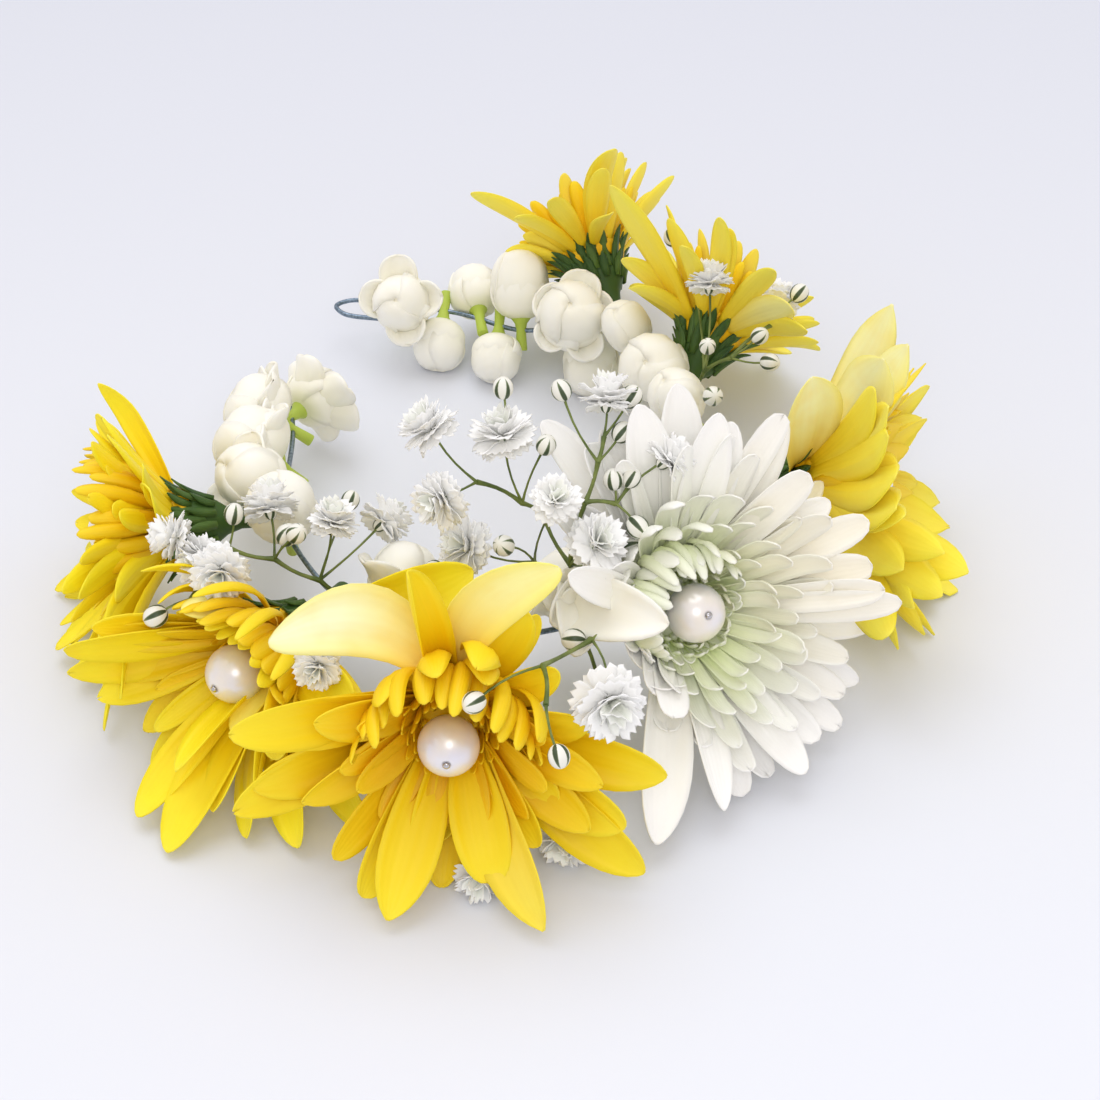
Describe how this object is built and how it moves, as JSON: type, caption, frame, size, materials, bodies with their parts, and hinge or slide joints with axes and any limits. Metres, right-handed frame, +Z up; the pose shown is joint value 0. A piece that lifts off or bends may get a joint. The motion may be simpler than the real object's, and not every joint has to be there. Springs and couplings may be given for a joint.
{
  "type": "wrist corsage",
  "caption": "Open ring of chrysanthemum heads with pearl centres, jasmine buds and baby's-breath sprigs, threaded on one bent steel wire to be worn round a wrist.",
  "frame": {"origin": "middle of the part's outline as seen from above, on the surface that it lies on", "axes": "+Z up, -Y towards the front head, the ring's opening at the back left (-X, +Y)"},
  "size_m": [0.1345, 0.1476, 0.052],
  "materials": {
    "wire": "bare drawn wire, blue-grey",
    "green_calyx": "matt living green",
    "yellow_petals": "soft matt petal",
    "white_petals": "soft matt petal",
    "pale_green_petals": "soft matt petal",
    "pearl": "pearl lustre",
    "pin": "bright pin",
    "jasmine_petals": "waxy cream petal",
    "babys_breath": "papery white bloom on a thin green stem"
  },
  "bodies": {
    "garland": {"base_wire": "wire", "mum_1_calyx": "green_calyx", "mum_1_outer_florets": "yellow_petals", "mum_1_inner_florets": "yellow_petals", "mum_2_calyx": "green_calyx", "mum_2_outer_florets": "yellow_petals", "mum_2_inner_florets": "yellow_petals", "mum_3_calyx": "green_calyx", "mum_3_outer_florets": "yellow_petals", "mum_3_inner_florets": "yellow_petals", "mum_4_calyx": "green_calyx", "mum_4_outer_florets": "white_petals", "mum_4_inner_florets": "pale_green_petals", "mum_5_calyx": "green_calyx", "mum_5_outer_florets": "yellow_petals", "mum_5_inner_florets": "yellow_petals", "mum_6_calyx": "green_calyx", "mum_6_outer_florets": "yellow_petals", "mum_6_inner_florets": "yellow_petals", "mum_7_calyx": "green_calyx", "mum_7_outer_florets": "yellow_petals", "mum_7_inner_florets": "yellow_petals", "jasmine_left_5": "jasmine_petals", "jasmine_middle_1": "jasmine_petals", "jasmine_middle_2": "jasmine_petals", "jasmine_right_1": "jasmine_petals", "jasmine_right_2": "jasmine_petals", "jasmine_right_3": "jasmine_petals", "jasmine_right_4": "jasmine_petals", "jasmine_right_5": "jasmine_petals", "babys_breath_middle": "babys_breath", "babys_breath_left": "babys_breath", "babys_breath_right": "babys_breath"},
    "plain_tail": {"tail_wire": "wire", "jasmine_left_1": "jasmine_petals", "jasmine_left_2": "jasmine_petals", "jasmine_left_3": "jasmine_petals", "jasmine_left_4": "jasmine_petals"},
    "hook_tail": {"hook_wire": "wire", "jasmine_right_6": "jasmine_petals", "jasmine_right_7": "jasmine_petals", "jasmine_right_8": "jasmine_petals", "jasmine_right_9": "jasmine_petals", "jasmine_right_10": "jasmine_petals"},
    "pearl_on_pin_1": {"pearl_1": "pearl", "pearl_pin_1": "pin"},
    "pearl_on_pin_2": {"pearl_2": "pearl", "pearl_pin_2": "pin"},
    "pearl_on_pin_3": {"pearl_3": "pearl", "pearl_pin_3": "pin"},
    "pearl_on_pin_4": {"pearl_4": "pearl", "pearl_pin_4": "pin"},
    "pearl_on_pin_5": {"pearl_5": "pearl", "pearl_pin_5": "pin"},
    "pearl_on_pin_6": {"pearl_6": "pearl", "pearl_pin_6": "pin"},
    "pearl_on_pin_7": {"pearl_7": "pearl", "pearl_pin_7": "pin"}
  },
  "joints": [
    {"name": "plain_tail_bend", "type": "hinge", "parent": "garland", "child": "plain_tail", "pos_m": [-0.03357, -0.00618, 0.01442], "axis": [0, 0, -1], "range_deg": [-12, 20]},
    {"name": "hook_tail_bend", "type": "hinge", "parent": "garland", "child": "hook_tail", "pos_m": [0.00516, 0.04504, 0.00736], "axis": [0, 0, 1], "range_deg": [-5, 20]},
    {"name": "pearl_1_pull", "type": "slide", "parent": "garland", "child": "pearl_on_pin_1", "axis": [-0.9768, -0.2076, 0.0523], "range_m": [0, 0.006]},
    {"name": "pearl_2_pull", "type": "slide", "parent": "garland", "child": "pearl_on_pin_2", "axis": [-0.6003, -0.7967, 0.0698], "range_m": [0, 0.006]},
    {"name": "pearl_3_pull", "type": "slide", "parent": "garland", "child": "pearl_on_pin_3", "axis": [-0.0346, -0.9897, 0.1392], "range_m": [0, 0.006]},
    {"name": "pearl_4_pull", "type": "slide", "parent": "garland", "child": "pearl_on_pin_4", "axis": [0.3719, -0.7299, 0.5736], "range_m": [0, 0.006]},
    {"name": "pearl_5_pull", "type": "slide", "parent": "garland", "child": "pearl_on_pin_5", "axis": [0.965, -0.2406, 0.1045], "range_m": [0, 0.006]},
    {"name": "pearl_6_pull", "type": "slide", "parent": "garland", "child": "pearl_on_pin_6", "axis": [0.4289, 0.8066, 0.4067], "range_m": [0, 0.006]},
    {"name": "pearl_7_pull", "type": "slide", "parent": "garland", "child": "pearl_on_pin_7", "axis": [-0.3473, 0.8597, 0.3746], "range_m": [0, 0.006]}
  ]
}
